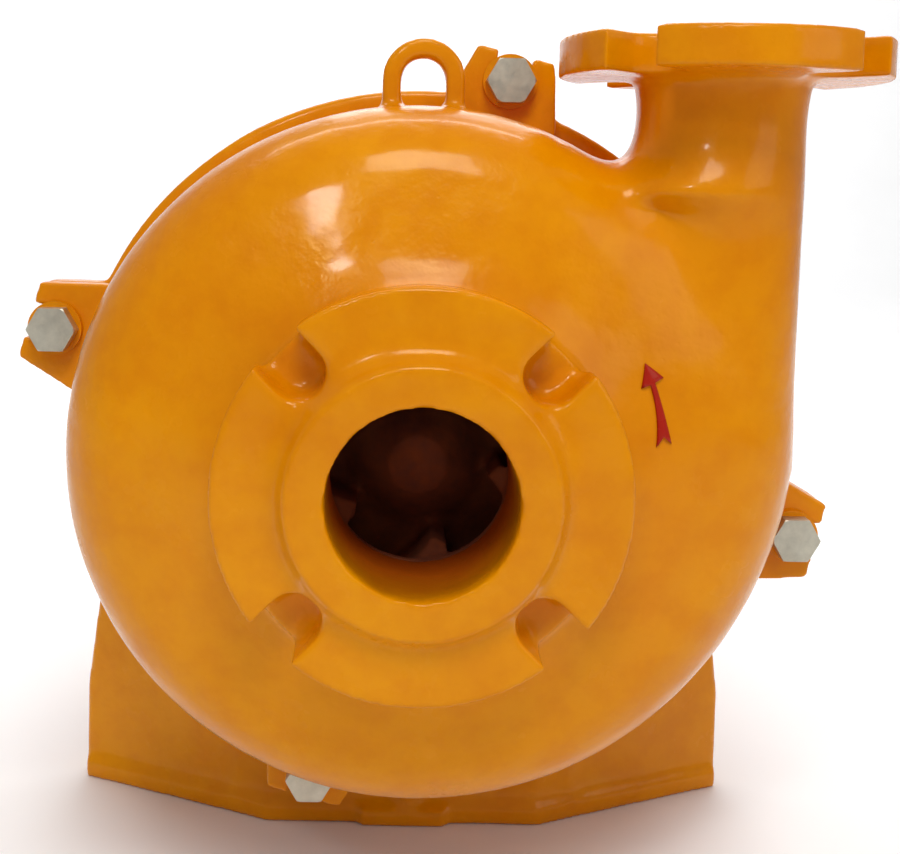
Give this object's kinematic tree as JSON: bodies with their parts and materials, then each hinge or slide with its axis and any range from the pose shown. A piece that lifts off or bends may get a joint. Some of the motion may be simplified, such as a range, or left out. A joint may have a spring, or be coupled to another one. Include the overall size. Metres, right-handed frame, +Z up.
{
  "type": "slurry pump",
  "caption": "Horizontal centrifugal slurry pump: flanged volute casing on an upright frame plate and cast base, with open impeller, gland-packed shaft and clamped bearing cartridge.",
  "frame": {"origin": "centre of the suction bore in the plane of the raised suction face", "axes": "+Y along the shaft towards the drive end, +X to the right of somebody who looks into the suction, +Z up along the discharge"},
  "size_m": [0.4293, 0.762, 0.4567],
  "materials": {
    "bearing_steel": "ground",
    "black_rubber": "matt",
    "brass_fittings": "satin",
    "gasket_rubber": "matt",
    "labyrinth_iron": "machined",
    "machined_steel": "fine turned",
    "packing_fibre": "braided and greased",
    "painted_hardware": "orange-yellow enamel",
    "wear_iron": "rough as-cast hard iron",
    "yellow_enamel": "glossy orange-yellow enamel on casting",
    "zinc_bolts": "dull zinc plate",
    "zinc_hardware": "dull zinc plate"
  },
  "bodies": {
    "pump": {"adjusting_nuts": "zinc_hardware", "back_liner": "wear_iron", "base_frame": "yellow_enamel", "casing_bolts": "zinc_bolts", "casing_gasket": "gasket_rubber", "casing_nuts": "zinc_hardware", "casing_washers": "painted_hardware", "clamp_bolts": "zinc_hardware", "clamp_nuts": "zinc_hardware", "clamp_washers": "zinc_hardware", "frame_plate": "yellow_enamel", "frame_plate_nuts": "zinc_hardware", "frame_plate_studs": "zinc_hardware", "gland_studs": "zinc_hardware", "gland_water_plug": "zinc_hardware", "lantern_ring": "brass_fittings", "liner_nuts": "zinc_hardware", "liner_studs": "zinc_hardware", "packing_rings": "packing_fibre", "stuffing_box": "yellow_enamel", "stuffing_box_screws": "zinc_hardware", "volute_casing": "yellow_enamel"},
    "bearing_cartridge": {"bearing_housing": "yellow_enamel", "pump_end_cover": "yellow_enamel", "drive_end_cover": "yellow_enamel", "end_cover_shims": "gasket_rubber", "pump_end_cover_screws": "zinc_hardware", "drive_end_cover_screws": "zinc_hardware", "pump_bearing_outer": "bearing_steel", "drive_bearing_outer": "bearing_steel", "grease_nipple_1": "brass_fittings", "grease_nipple_2": "brass_fittings", "adjusting_screw": "zinc_hardware", "adjusting_lock_nut": "zinc_hardware"},
    "rotor": {"impeller": "wear_iron", "impeller_o_ring": "black_rubber", "shaft": "machined_steel", "shaft_key": "machined_steel", "shaft_sleeve": "machined_steel", "water_flinger": "black_rubber", "grease_retainer": "machined_steel", "lock_washer": "machined_steel", "bearing_locknut": "machined_steel", "pump_end_labyrinth": "labyrinth_iron", "drive_end_labyrinth": "labyrinth_iron", "pump_bearing_inner": "bearing_steel", "drive_bearing_inner": "bearing_steel"},
    "gland": {"gland_half_right": "yellow_enamel", "gland_half_left": "yellow_enamel", "gland_nuts": "zinc_hardware"},
    "pump_rollers": {"pump_bearing_rollers": "bearing_steel"},
    "drive_rollers": {"drive_bearing_rollers": "bearing_steel"}
  },
  "joints": [
    {"name": "impeller_gap_slide", "type": "slide", "parent": "pump", "child": "bearing_cartridge", "axis": [0, 1, 0], "range_m": [-0.0015, 0.0015]},
    {"name": "rotor_spin", "type": "hinge", "parent": "bearing_cartridge", "child": "rotor", "pos_m": [0, 0.475, 0], "axis": [0, -1, 0], "continuous": true},
    {"name": "gland_slide", "type": "slide", "parent": "pump", "child": "gland", "axis": [0, 1, 0], "range_m": [0, 0.012]},
    {"name": "pump_roller_spin", "type": "hinge", "parent": "bearing_cartridge", "child": "pump_rollers", "pos_m": [0, 0.393, 0], "axis": [0, -1, 0], "continuous": true},
    {"name": "drive_roller_spin", "type": "hinge", "parent": "bearing_cartridge", "child": "drive_rollers", "pos_m": [0, 0.557, 0], "axis": [0, -1, 0], "continuous": true}
  ],
  "couplings": [
    {"joint": "pump_roller_spin", "follows": "rotor_spin", "ratio": 0.43},
    {"joint": "drive_roller_spin", "follows": "rotor_spin", "ratio": 0.43}
  ]
}
